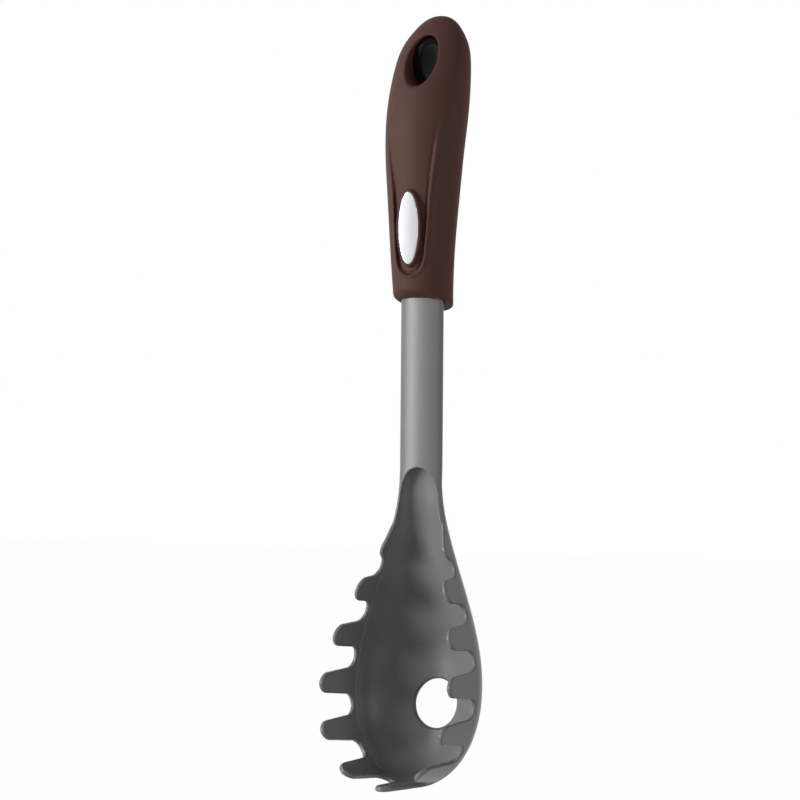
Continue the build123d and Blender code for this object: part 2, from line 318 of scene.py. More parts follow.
class FairCurve:
    """Natural cubic curve through a table, as a moulder's section lines run."""

    def __init__(self, knots: Sequence[float], values: Sequence[float]) -> None:
        """Solve for the bend at each knot.

        Args:
            knots: Rising places along the curve.
            values: Sizes at those places.
        """
        self.knots, self.values = np.array(knots, float), np.array(values, float)
        gaps = np.diff(self.knots)
        rises = np.diff(self.values) / gaps
        count = len(self.knots)
        rows, bends = np.eye(count), np.zeros(count)
        for i in range(1, count - 1):
            rows[i, i - 1 : i + 2] = gaps[i - 1], 2 * (gaps[i - 1] + gaps[i]), gaps[i]
            bends[i] = 6 * (rises[i] - rises[i - 1])
        self.bends = np.linalg.solve(rows, bends)

    def at(self, place: Array) -> Array:
        """Read the curve's size at each place.

        Args:
            place: Places along the curve, held to its ends.

        Returns:
            Sizes at those places.
        """
        place = np.clip(place, self.knots[0], self.knots[-1])
        i = np.clip(np.searchsorted(self.knots, place) - 1, 0, len(self.knots) - 2)
        gap = self.knots[i + 1] - self.knots[i]
        right = (place - self.knots[i]) / gap
        left = 1 - right
        bend = (left**3 - left) * self.bends[i] + (right**3 - right) * self.bends[i + 1]
        return left * self.values[i] + right * self.values[i + 1] + bend * gap * gap / 6


@dataclass
class MouldedForm:
    """A moulded solid given by its surface's distance, meshed with even quads.

    All lengths are millimetres. x runs across, y from front to back and z upwards.
    """

    cell: float = 0.6
    low: tuple[float, float, float] = (0.0, 0.0, 0.0)
    high: tuple[float, float, float] = (0.0, 0.0, 0.0)
    slabs: int = 12
    slope_step: float = 0.02
    least_slope: float = 0.3
    moves: int = 3
    longest_move: float = 0.4

    def distance(self, x: Array, y: Array, z: Array) -> Array:
        """Distance to the solid's surface, negative inside; each solid gives its own."""
        raise NotImplementedError

    def lattice(self) -> tuple[Array, Array]:
        """Measure the distance on a lattice, one half of it, and mirror the rest.

        Returns:
            The values and the lattice's lowest corner.
        """
        x, y, z = (
            start + np.arange(math.ceil((end - start) / self.cell) + 1) * self.cell
            for start, end in zip((0.0, *self.low[1:]), self.high)
        )
        parts = np.array_split(z, self.slabs)
        slabs = [self.distance(*np.meshgrid(x, y, part, indexing="ij")) for part in parts]
        right = np.concatenate(slabs, axis=2)
        whole = np.concatenate([right[:0:-1], right], axis=0)
        return whole, np.array([-x[-1], y[0], z[0]])

    def net(self) -> tuple[Array, Array]:
        """Lay a net of quads over the surface.

        Returns:
            Vertices in millimetres, and quads of vertex numbers that face outwards.
        """
        values, corner = self.lattice()
        inside = values < 0
        shape = np.array(values.shape)
        steps = [np.array(s) for s in np.ndindex(2, 2, 2)]
        filled = sum(inside[tuple(map(slice, s, shape - 1 + s))].astype(int) for s in steps)
        crossed = (filled > 0) & (filled < 8)
        number = np.full(crossed.shape, -1)
        number[crossed] = np.arange(crossed.sum())
        cells = np.argwhere(crossed)
        total, hits = np.zeros((len(cells), 3)), np.zeros(len(cells))
        for start in steps:
            for axis in range(3):
                if start[axis]:
                    continue
                end = start.copy()
                end[axis] = 1
                near = values[tuple((cells + start).T)]
                far = values[tuple((cells + end).T)]
                cut = (near < 0) != (far < 0)
                share = np.where(cut, near / np.where(cut, near - far, 1.0), 0.0)
                place = start + share[:, None] * (end - start)
                total += place * cut[:, None]
                hits += cut
        vertices = corner + (cells + total / hits[:, None]) * self.cell
        quads = []
        for axis in range(3):
            side, across = (axis + 1) % 3, (axis + 2) % 3
            near = np.take(inside, range(shape[axis] - 1), axis)
            far = np.take(inside, range(1, shape[axis]), axis)
            edges = np.argwhere(near != far)
            keep = (edges[:, side] > 0) & (edges[:, side] < shape[side] - 1)
            keep &= (edges[:, across] > 0) & (edges[:, across] < shape[across] - 1)
            edges = edges[keep]
            ring = []
            for back_side, back_across in ((1, 1), (0, 1), (0, 0), (1, 0)):
                cell = edges.copy()
                cell[:, side] -= back_side
                cell[:, across] -= back_across
                ring.append(number[tuple(cell.T)])
            faces = np.stack(ring, axis=1)
            leaves = near[tuple(edges.T)]
            quads.append(np.where(leaves[:, None], faces, faces[:, ::-1]))
        return vertices, np.concatenate(quads)

    def settle(self, vertices: Array) -> tuple[Array, Array]:
        """Draw the net onto the true surface and read the surface's normals.

        Args:
            vertices: The net's vertices.

        Returns:
            The settled vertices and their outward unit normals.
        """
        most = self.longest_move * self.cell
        for moves_left in range(self.moves, -1, -1):
            here, rises = slopes(self.distance, *vertices.T, self.slope_step)
            size = np.linalg.norm(rises.T, axis=1, keepdims=True)
            normals = rises.T / np.maximum(size, TINY)
            if moves_left:
                move = here[:, None] / np.maximum(size, self.least_slope)
                vertices = vertices - np.clip(move, -most, most) * normals
        return vertices, normals

    def mesh(self, name: str) -> bpy.types.Object:
        """Make the solid's object, smooth and in metres.

        Args:
            name: The object's name.

        Returns:
            The new object.
        """
        vertices, quads = self.net()
        vertices, normals = self.settle(vertices)
        mesh = bpy.data.meshes.new(name)
        mesh.vertices.add(len(vertices))
        mesh.vertices.foreach_set("co", (vertices * MM).astype(np.float32).ravel())
        mesh.loops.add(quads.size)
        mesh.loops.foreach_set("vertex_index", quads.astype(np.int32).ravel())
        mesh.polygons.add(len(quads))
        mesh.polygons.foreach_set("loop_start", np.arange(0, quads.size, 4, dtype=np.int32))
        mesh.update(calc_edges=True)
        mesh.validate()
        mesh.shade_smooth()
        mesh.normals_split_custom_set_from_vertices(normals.tolist())
        return add_object(name, mesh)


@dataclass
class NylonHead(MouldedForm):
    """Bowl, crown of tines, stem and tang, moulded in one shot."""

    cell: float = 0.62
    low: tuple[float, float, float] = (-34.0, -38.5, -303.5)
    high: tuple[float, float, float] = (34.0, 20.0, -42.5)
    stem_half_width: float = 10.05
    stem_front: float = 2.8
    stem_back: float = 5.1
    bowl_bottom: float = -300.7
    widest_level: float = -260.0
    neck_level: float = -173.0
    bowl_half_width: float = 30.8
    outline_power: float = 2.15
    neck_skew: float = 0.06
    rim_at_neck: float = 0.5
    rim_at_bottom: float = -6.1
    depth_share: float = 0.70
    neck_blend: float = 30.0
    wall: float = 2.3
    neck_wall: float = 1.9
    arch_level: float = -168.4
    arch_length: float = 11.0
    tine_pitch: float = 20.0
    tines_per_side: int = 5
    crown_reach: float = 30.0
    crown_top: float = -186.0
    ledge: float = 0.6
    ledge_set_back: float = 1.7
    crown_dip_deg: float = 0.8
    flare_outside: float = 0.0524
    flare_inside: float = 0.0459
    bottom_flare_share: float = 0.1
    tine_taper_deg: float = 4.8
    notch_half_width: float = 3.9
    notch_corner: float = 3.8
    notch_lift: float = 0.3
    tip_corner: float = 5.0
    tip_evenness: float = 0.9
    tip_drops: tuple[float, ...] = (0.0, 0.07, 0.145, 0.28, 0.445, 0.62, 0.79, 0.935, 1.03)
    tip_reaches: tuple[float, ...] = (-0.03, 0.06, 0.17, 0.42, 0.625, 0.765, 0.81, 0.785, 0.778)
    hole_radius: float = 10.25
    hole_level: float = -266.6
    hole_edge: float = 0.9
    edge: float = 0.55
    ledge_edge: float = 0.5
    tang_half_width: float = 7.2
    tang_half_depth: float = 2.6
    tang_top: float = -44.0
    shoulder: float = -90.0
    lock_hole_radius: float = 2.5
    flare_root: float = -2.0
    tip_run_out: float = 3.0
    tang_root: float = 1.0
    tang_edge: float = 1.2
    tang_end_edge: float = 0.5
    shoulder_edge: float = 0.4
    hole_front: float = 4.0
    rim_steps: int = 240
    chart_step: float = 0.5
    chart_margin: float = 8.0
    chart_lip: float = 0.001

    def __post_init__(self) -> None:
        """Lay out the tips' side line and the run along the rim."""
        self.tips = FairCurve(self.tip_drops, self.tip_reaches)
        turn = np.linspace(0.5 * math.pi, 0.0, self.rim_steps + 1)
        power = self.outline_power
        lower = self.widest_level + (self.bowl_bottom - self.widest_level) * np.sin(turn) ** (2 / power)
        beside = self.bowl_half_width * np.cos(turn) ** (2 / power)
        upper = np.linspace(self.widest_level, self.arch_level, 2 * self.rim_steps + 1)[1:]
        across = np.concatenate([beside, self.width(upper, 0.0)])
        self.rim = np.stack([across, np.concatenate([lower, upper])], axis=1)
        lengths = np.hypot(*np.diff(self.rim, axis=0).T)
        self.runs = np.concatenate([[0.0], np.cumsum(lengths)])
        ahead = np.gradient(self.rim, self.runs, axis=0)
        self.ahead = ahead / np.linalg.norm(ahead, axis=1, keepdims=True)
        step, margin = self.chart_step, self.chart_margin
        self.chart_x = np.arange(0.0, self.high[0] + margin, step)
        self.chart_z = np.arange(self.low[2] - margin, self.arch_level + margin, step)
        grid = np.stack(np.meshgrid(self.chart_x, self.chart_z, indexing="ij"), axis=-1).reshape(-1, 2)
        nearest = [((self.rim - place) ** 2).sum(axis=1).argmin() for place in grid]
        self.chart = self.runs[nearest].reshape(len(self.chart_x), len(self.chart_z))

    def width(self, level: Array, inset: float | Array) -> Array:
        """Half the width at a level, before the bottom rounds it off.

        Args:
            level: Levels in height.
            inset: Wall taken off each side.

        Returns:
            Half widths.
        """
        run = np.clip((self.neck_level - level) / (self.neck_level - self.widest_level), 0.0, 1.0)
        run = run + self.neck_skew * run * (1 - run)
        return self.stem_half_width + (self.bowl_half_width - self.stem_half_width) * smooth(run) - inset

    def sink(self, level: Array, inset: float | Array) -> Array:
        """Share of the way from the widest level to the bottom."""
        drop = (self.widest_level - level) / (self.widest_level - self.bowl_bottom - inset)
        return np.maximum(drop, 0.0)

    def deep(self, level: Array, inset: float) -> Array:
        """Depth behind the rim at a level, before the bottom rounds it off.

        Args:
            level: Levels in height.
            inset: Wall taken off the depth.

        Returns:
            Depths behind the rim's plane.
        """
        upper = np.maximum(level, self.widest_level)
        start = self.stem_back / self.stem_half_width
        share = start + (self.depth_share - start) * smooth((self.arch_level - upper) / self.neck_blend)
        return self.width(upper, 0.0) * share - inset

    def rim_y(self, level: Array) -> Array:
        """Front-to-back place of the rim's plane at a level."""
        run = (np.minimum(level, self.arch_level) - self.neck_level) / (self.bowl_bottom - self.neck_level)
        return self.rim_at_neck + (self.rim_at_bottom - self.rim_at_neck) * run

    def thickness(self, level: Array) -> Array:
        """Side wall at a level, thinner at the neck."""
        blend = smooth((self.neck_level - level) / (self.neck_level - self.widest_level))
        return self.neck_wall + (self.wall - self.neck_wall) * blend

    def arch(self, level: Array) -> Array:
        """Offset that closes a hollow towards the top of the arch."""
        return np.maximum(level - self.arch_level + self.arch_length, 0.0)

    def rounded(self, across: Array, level: Array, wall: float, *sides: tuple[Array, Array]) -> Array:
        """Distance to a form whose sections are ovals that close in on the bottom.

        Args:
            across: Places across.
            level: Levels in height.
            wall: Wall round this form, which then is a hollow under the arch, or zero.
            sides: Offset and half size of the oval in each further direction.

        Returns:
            Distances, negative inside the form.
        """
        power = self.outline_power
        half = self.width(level, self.thickness(level) if wall else 0.0)
        closing = ((self.arch(level), self.arch_length),) if wall else ()
        sides = ((across, half), *sides, *closing)
        spread = np.sqrt(sum((offset / half) ** 2 for offset, half in sides)) + TINY
        slope = np.sqrt(sum((offset / half**2) ** 2 for offset, half in sides)) / spread
        sink = self.sink(level, wall)
        size = (spread**power + sink**power) ** (1 / power)
        fall = (sink / size) ** (power - 1) / (self.widest_level - self.bowl_bottom - wall)
        slope = np.hypot((spread / size) ** (power - 1) * slope, fall)
        return (size - 1) / np.maximum(slope, LEAST_SLOPE)

    def bowl(self, x: Array, y: Array, z: Array, wall: float) -> Array:
        """Outer form of stem and bowl or, inside a wall, the bowl's hollow.

        Args:
            x, y, z: Places to measure at.
            wall: Wall round the hollow, or zero for the outer form.

        Returns:
            Distances, negative inside the form.
        """
        back = y - self.rim_y(z)
        reach = np.where(back > 0, self.deep(z, wall), self.stem_front)
        return self.rounded(x, z, wall, (back, reach))

    def out(self, y: Array, z: Array) -> Array:
        """Height in front of the rim's plane."""
        return self.rim_y(z) - y

    def from_rim(self, x: Array, y: Array, z: Array, start: float, flare: float) -> tuple[Array, Array]:
        """Trace a place in the crown back to the rim's plane.

        Args:
            x, y, z: Places to measure at.
            start: Set-out of the wall at the rim.
            flare: Set-out gained for each millimetre of height.

        Returns:
            The place across and the level at the rim.
        """
        height = self.out(y, z)
        extra = start + np.maximum(height, self.flare_root) * flare
        level = z + height * math.sin(math.radians(self.crown_dip_deg))
        length = self.neck_level - self.bowl_bottom
        level = self.neck_level + (level - self.neck_level) / (1 + self.bottom_flare_share * extra / length)
        return x / (1 + extra / self.bowl_half_width), level

    def crown(self, x: Array, y: Array, z: Array, wall: float) -> Array:
        """Outer side of the crown or, inside a wall, its hollow, set out from the bowl's by the ledge.

        Args:
            x, y, z: Places to measure at.
            wall: Wall round the hollow, or zero for the outer side.

        Returns:
            Distances, negative inside the side.
        """
        start, flare = (self.ledge, self.flare_inside) if wall else (0.0, self.flare_outside)
        across, level = self.from_rim(x, y, z, start, flare)
        return self.rounded(across, level, wall)

    def run(self, x: Array, z: Array) -> Array:
        """Run along the rim from the bottom, read from the chart.

        Args:
            x, z: Places to measure at.

        Returns:
            Runs in millimetres.
        """
        last_i, last_k = (len(side) - 1 - self.chart_lip for side in (self.chart_x, self.chart_z))
        i = np.clip(np.abs(x) / self.chart_step, 0, last_i)
        k = np.clip((z - self.chart_z[0]) / self.chart_step, 0, last_k)
        low_i, low_k = i.astype(int), k.astype(int)
        i, k = i - low_i, k - low_k
        near = self.chart[low_i, low_k] * (1 - k) + self.chart[low_i, low_k + 1] * k
        far = self.chart[low_i + 1, low_k] * (1 - k) + self.chart[low_i + 1, low_k + 1] * k
        run = near * (1 - i) + far * i
        for _ in range(2):
            place = [np.interp(run, self.runs, self.rim[:, k]) for k in (0, 1)]
            ahead = [np.interp(run, self.runs, self.ahead[:, k]) for k in (0, 1)]
            run = run + (np.abs(x) - place[0]) * ahead[0] + (z - place[1]) * ahead[1]
        return run

    def notch(self, run: Array, height: Array) -> Array:
        """Rounded notch between two tines, the same at every pitch along the rim.

        Args:
            run: Runs along the rim.
            height: Heights in front of the rim's plane.

        Returns:
            Distances, negative inside a notch.
        """
        step = np.clip(np.round(run / self.tine_pitch - 0.5), 0, self.tines_per_side)
        aside = np.abs(run - (step + 0.5) * self.tine_pitch)
        taper = math.radians(self.tine_taper_deg)
        side = (aside - self.notch_half_width) * math.cos(taper) - height * math.sin(taper)
        return overlap(side, self.notch_lift - height, self.notch_corner)

    def tip(self, run: Array, height: Array) -> Array:
        """Side line that the tips follow, nearly level over each tine.

        Args:
            run: Runs along the rim.
            height: Heights in front of the rim's plane.

        Returns:
            Distances, negative behind the line.
        """
        step = np.round(run / self.tine_pitch)
        middle = np.where(step > self.tines_per_side, run, step * self.tine_pitch)
        level = np.interp(run + (middle - run) * self.tip_evenness, self.runs, self.rim[:, 1])
        share = (level - self.crown_top) / (self.bowl_bottom - self.crown_top)
        beyond = self.tip_reaches[0] + self.tip_run_out * share
        return height - self.crown_reach * np.where(share < 0, beyond, self.tips.at(share))

    def tang(self, x: Array, y: Array, z: Array) -> Array:
        """Flat tongue that the core is moulded round.

        Args:
            x, y, z: Places to measure at.

        Returns:
            Distances, negative inside the tongue.
        """
        middle = self.rim_y(z) + (self.stem_back - self.stem_front) / 2
        aside, behind = np.abs(x) - self.tang_half_width, np.abs(y - middle) - self.tang_half_depth
        section = overlap(aside, behind, self.tang_edge)
        level = (self.tang_top + self.shoulder) / 2
        lock = self.lock_hole_radius - np.hypot(x, z - level)
        within = overlap(section, z - self.tang_top, self.tang_end_edge)
        return np.maximum(np.maximum(within, self.shoulder - self.tang_root - z), lock)

    def distance(self, x: Array, y: Array, z: Array) -> Array:
        """Distance to the head's surface.

        Args:
            x, y, z: Places to measure at.

        Returns:
            Distances, negative inside the nylon.
        """
        height = self.out(y, z)
        run = self.run(*self.from_rim(x, y, z, 0.0, self.flare_outside))
        notch = self.notch(run, height)
        body = overlap(self.bowl(x, y, z, 0.0), z - self.shoulder, self.shoulder_edge)
        body = np.minimum(body, self.tang(x, y, z))
        crown = np.maximum(self.crown(x, y, z, 0.0), -height)
        crown = overlap(crown, overlap(self.tip(run, height), -notch, self.tip_corner), self.edge)
        solid = overlap(np.minimum(body, crown), -notch, self.edge)
        set_back = self.ledge_set_back * (self.neck_level - z) / (self.neck_level - self.bowl_bottom)
        front = np.maximum(self.crown(x, y, z, self.wall), -(height + np.maximum(set_back, 0.0)))
        around = overlap(-self.bowl(x, y, z, self.wall), -front, self.ledge_edge)
        solid = overlap(solid, around, self.edge)
        hole = np.maximum(np.hypot(x, z - self.hole_level) - self.hole_radius, self.hole_front - y)
        return overlap(solid, -hole, self.hole_edge)


@dataclass
class SoftGrip(MouldedForm):
    """Soft skin over the core, with the hanging hole, the thumb recess and the badge's seat."""

    cell: float = 0.55
    low: tuple[float, float, float] = (-18.7, -13.0, -106.5)
    high: tuple[float, float, float] = (18.7, 20.5, 20.0)
    top: float = 19.4
    length: float = 125.4
    half_width: float = 17.9
    half_depth: float = 14.3
    least_half: float = 0.05
    least_square: float = 1e-5
    station_shares: tuple[float, ...] = (
        0.0, 0.02, 0.047, 0.10, 0.185, 0.32, 0.451, 0.589, 0.715, 0.826, 0.929, 1.0,
    )
    width_shares: tuple[float, ...] = (
        0.0, 0.41, 0.60, 0.832, 0.961, 1.0, 0.972, 0.905, 0.827, 0.765, 0.721, 0.704,
    )
    front_shares: tuple[float, ...] = (
        0.97, 0.64, 0.44, 0.08, -0.315, -0.713, -0.797, -0.741, -0.741, -0.734, -0.685, -0.65,
    )
    back_shares: tuple[float, ...] = (
        0.97, 1.20, 1.26, 1.35, 1.37, 1.287, 1.063, 0.909, 0.853, 0.853, 0.895, 0.937,
    )
    wall: float = 2.4
    core_top_share: float = 0.047
    end_front: float = -95.5
    end_slant_deg: float = 20.0
    end_edge: float = 1.2
    hole_half_width: float = 7.2
    hole_half_height: float = 10.8
    hole_edge: float = 1.0
    hole_lining: float = 2.2
    web_y: float = 11.35
    web_half: float = 7.45
    web_step: float = 3.5
    web_edge: float = 0.4
    recess_depth: float = 1.1
    recess_top: float = -14.0
    recess_bottom: float = -88.8
    recess_half_width: float = 14.4
    recess_drop_shares: tuple[float, ...] = (0.0, 0.10, 0.335, 0.505, 0.722, 0.842, 0.921, 0.97, 1.0)
    recess_width_shares: tuple[float, ...] = (1.0, 0.93, 0.76, 0.63, 0.535, 0.485, 0.43, 0.325, 0.0)
    crease_reach: float = 0.95
    crease_run_out: float = 2.6
    crest_height: float = 0.34
    floor_lead: float = 0.3
    valley_place: float = 1.1
    crest_place: float = -0.8
    valley_depth: float = 0.4
    badge_level: float = -69.38
    badge_front: float = -11.3
    badge_lean_deg: float = -0.5
    badge_half_width: float = 4.8
    badge_half_height: float = 15.0
    badge_thickness: float = 1.2
    badge_proud: float = 0.5
    seat_rim: float = 1.1
    seat_edge: float = 0.45
    fit: float = 0.05
    passage_half_width: float = 10.4
    passage_front: float = 3.15
    passage_back: float = 5.45
    passage_y: float = 0.738
    passage_top: float = -89.95
    passage_edge: float = 0.3
    top_edge: float = 0.4
    top_flat: float = 0.05
    seat_blend: float = 0.35

    def __post_init__(self) -> None:
        """Lay the lines that the sections and the crease follow."""
        middle = [(rear + fore) / 2 for fore, rear in zip(self.front_shares, self.back_shares)]
        deep = [((rear - fore) / 2) ** 2 for fore, rear in zip(self.front_shares, self.back_shares)]
        self.middle = FairCurve(self.station_shares, middle)
        self.deep = FairCurve(self.station_shares, deep)
        self.wide = FairCurve(self.station_shares, [share**2 for share in self.width_shares])
        self.crease = FairCurve(self.recess_drop_shares, [share**2 for share in self.recess_width_shares])

    def body(self, x: Array, y: Array, z: Array, inset: float, sunk: float | Array) -> Array:
        """Own measure of the handle's form, sunk in front and inset all round.

        Args:
            x, y, z: Places to measure at.
            inset: Wall taken off all round.
            sunk: Depth taken off the front.

        Returns:
            Measures that are zero on the surface and negative inside.
        """
        share = (self.top - z) / self.length
        squares = [np.maximum(line.at(share), self.least_square) for line in (self.wide, self.deep)]
        half, deep = (
            np.maximum(size * np.sqrt(square) - inset, self.least_half)
            for size, square in zip((self.half_width, self.half_depth), squares)
        )
        middle = self.half_depth * self.middle.at(share)
        front = np.where(y < middle, sunk, 0.0)
        return np.hypot(x / (half - front), (y - middle) / (deep - front)) - 1

    def crease_distance(self, x: Array, z: Array) -> Array:
        """Distance from the U-shaped crease, positive inside it, seen from the front.

        Args:
            x, z: Places to measure at.

        Returns:
            Distances in millimetres.
        """
        height = self.recess_top - self.recess_bottom
        square, run_out = self.recess_half_width**2, self.crease_run_out
        step = 0.05

        def room(level: Array) -> Array:
            """Square of the half width that the crease leaves at a level."""
            drop = (self.recess_top - level) / height
            return square * (self.crease.at(drop) - run_out * np.maximum(drop - 1, 0))

        here = room(z) - x * x
        rise = (room(z + step) - room(z)) / step
        return here / np.maximum(np.hypot(2 * x, rise), 1.0)

    def sunk(self, x: Array, z: Array) -> Array:
        """Depth of the thumb recess, with a soft valley and a raised crest at its crease.

        Args:
            x, z: Places to measure at.

        Returns:
            Depths behind the handle's own form.
        """
        fade = smooth((self.recess_top - z) / (self.recess_top - self.badge_level))
        inside = self.crease_distance(x, z) / self.crease_reach
        floor = self.recess_depth * smooth((inside + self.floor_lead) / (1 + self.floor_lead))
        valley = self.valley_depth * np.maximum(1 - (inside - self.valley_place) ** 2, 0) ** 2
        crest = self.crest_height * np.maximum(1 - (inside - self.crest_place) ** 2, 0) ** 2
        return fade * (floor + valley - crest)

    def hole(self, x: Array, z: Array) -> Array:
        """Distance to the hanging hole."""
        return oval_distance(x, z, self.hole_half_width, self.hole_half_height)

    def seat(self, x: Array, y: Array, z: Array) -> tuple[Array, Array, Array]:
        """Read places in the badge's plane.

        Args:
            x, y, z: Places to measure at.

        Returns:
            The places across, along and above its face.
        """
        lean = math.radians(self.badge_lean_deg)
        back, up = y - self.badge_front, z - self.badge_level
        along = back * math.sin(lean) + up * math.cos(lean)
        above = up * math.sin(lean) - back * math.cos(lean)
        return x, along, above

    def below_end(self, y: Array, z: Array) -> Array:
        """Measure from the handle's slanted end.

        Args:
            y, z: Places to measure at.

        Returns:
            Distances, negative below the end.
        """
        slant = math.radians(self.end_slant_deg)
        front = self.half_depth * self.front_shares[-2]
        return (y - front) * math.sin(slant) + (z - self.end_front) * math.cos(slant)

    def passage(self, x: Array, y: Array, z: Array) -> Array:
        """Measure from the stem's way in.

        Args:
            x, y, z: Places to measure at.

        Returns:
            Distances, negative inside the way.
        """
        reach = np.where(y < self.passage_y, self.passage_front, self.passage_back)
        way = oval_distance(x, y - self.passage_y, self.passage_half_width, reach)
        return np.maximum(way, z - self.passage_top)

    def core(self, x: Array, y: Array, z: Array) -> Array:
        """Measure from the hard core that the skin covers.

        Args:
            x, y, z: Places to measure at.

        Returns:
            Distances, negative inside the core.
        """
        form = slope_evened(lambda a, b, c: self.body(a, b, c, self.wall, 0.0), x, y, z)
        form = np.maximum(form, z - (self.top - self.length * self.core_top_share))
        form = np.maximum(form, self.wall - self.below_end(y, z))
        lined = np.minimum(self.hole_lining - self.hole(x, z), np.abs(y - self.web_y) - self.web_half)
        return np.maximum(form, lined)

    def distance(self, x: Array, y: Array, z: Array) -> Array:
        """Distance to the grip's surface.

        Args:
            x, y, z: Places to measure at.

        Returns:
            Distances, negative inside the soft skin.
        """
        form = slope_evened(lambda a, b, c: self.body(a, b, c, 0.0, self.sunk(a, c)), x, y, z)
        form = overlap(form, z - self.top + self.top_flat, self.top_edge)
        form = overlap(form, -self.below_end(y, z), self.end_edge)
        form = overlap(form, -self.hole(x, z), self.hole_edge)
        across, along, above = self.seat(x, y, z)
        rim, pocket = (
            oval_distance(across, along, self.badge_half_width + room, self.badge_half_height + room)
            for room in (self.seat_rim, self.fit)
        )
        rim = np.maximum(overlap(rim, above + self.badge_proud, self.seat_edge), -above - self.wall)
        form = -overlap(-form, -rim, self.seat_blend)
        pocket = np.maximum(pocket, -above - self.badge_thickness)
        form = overlap(form, -self.passage(x, y, z), self.passage_edge)
        return np.maximum(np.maximum(form, -pocket), -self.core(x, y, z))


@dataclass
class HandleCore(MouldedForm):
    """Hard core inside the skin, whose web narrows the hanging hole."""

    cell: float = 0.8
    low: tuple[float, float, float] = (-17.0, -11.0, -104.0)
    high: tuple[float, float, float] = (17.0, 19.5, 16.0)
    skin: SoftGrip = field(default_factory=SoftGrip)
    head: NylonHead = field(default_factory=NylonHead)

    def distance(self, x: Array, y: Array, z: Array) -> Array:
        """Distance to the core's surface.

        Args:
            x, y, z: Places to measure at.

        Returns:
            Distances, negative inside the core.
        """
        skin, step = self.skin, self.skin.web_step
        bore = oval_distance(x, z, skin.hole_half_width - step, skin.hole_half_height - step)
        form = overlap(skin.core(x, y, z), -bore, skin.web_edge)
        form = np.maximum(form, -skin.passage(x, y, z))
        return np.maximum(form, -self.head.tang(x, y, z))


@dataclass
class PieceTree:
    """A node tree that makes one piece from named sizes."""

    name: str
    sizes: dict[str, float]

    def __post_init__(self) -> None:
        """Start the tree with an input for each size."""
        self.group = bpy.data.node_groups.new(self.name, "GeometryNodeTree")
        for label, size in self.sizes.items():
            kind = "NodeSocketInt" if isinstance(size, int) else "NodeSocketFloat"
            self.group.interface.new_socket(label, in_out="INPUT", socket_type=kind)
        self.group.interface.new_socket("Geometry", in_out="OUTPUT", socket_type="NodeSocketGeometry")
        inputs = add_node(self.group, "NodeGroupInput", {}, {}).outputs
        self.numbers = {label: inputs[label] for label in self.sizes}

    def bake(self, geometry: bpy.types.NodeSocket) -> bpy.types.Object:
        """Turn the tree's result into a plain mesh object.

        Args:
            geometry: The socket that carries the finished shape.

        Returns:
            The new object, at the origin.
        """
        add_node(self.group, "NodeGroupOutput", {}, {0: geometry})
        holder = add_object(self.name + "_tree", bpy.data.meshes.new(self.name + "_start"))
        modifier = holder.modifiers.new("sizes", "NODES")
        modifier.node_group = self.group
        for socket in self.group.interface.items_tree:
            if socket.in_out == "INPUT":
                modifier[socket.identifier] = self.sizes[socket.name]
        holder.update_tag()
        seen = holder.evaluated_get(bpy.context.evaluated_depsgraph_get())
        mesh = bpy.data.meshes.new_from_object(seen)
        bpy.data.objects.remove(holder)
        mesh.name = self.name
        return add_object(self.name, mesh)


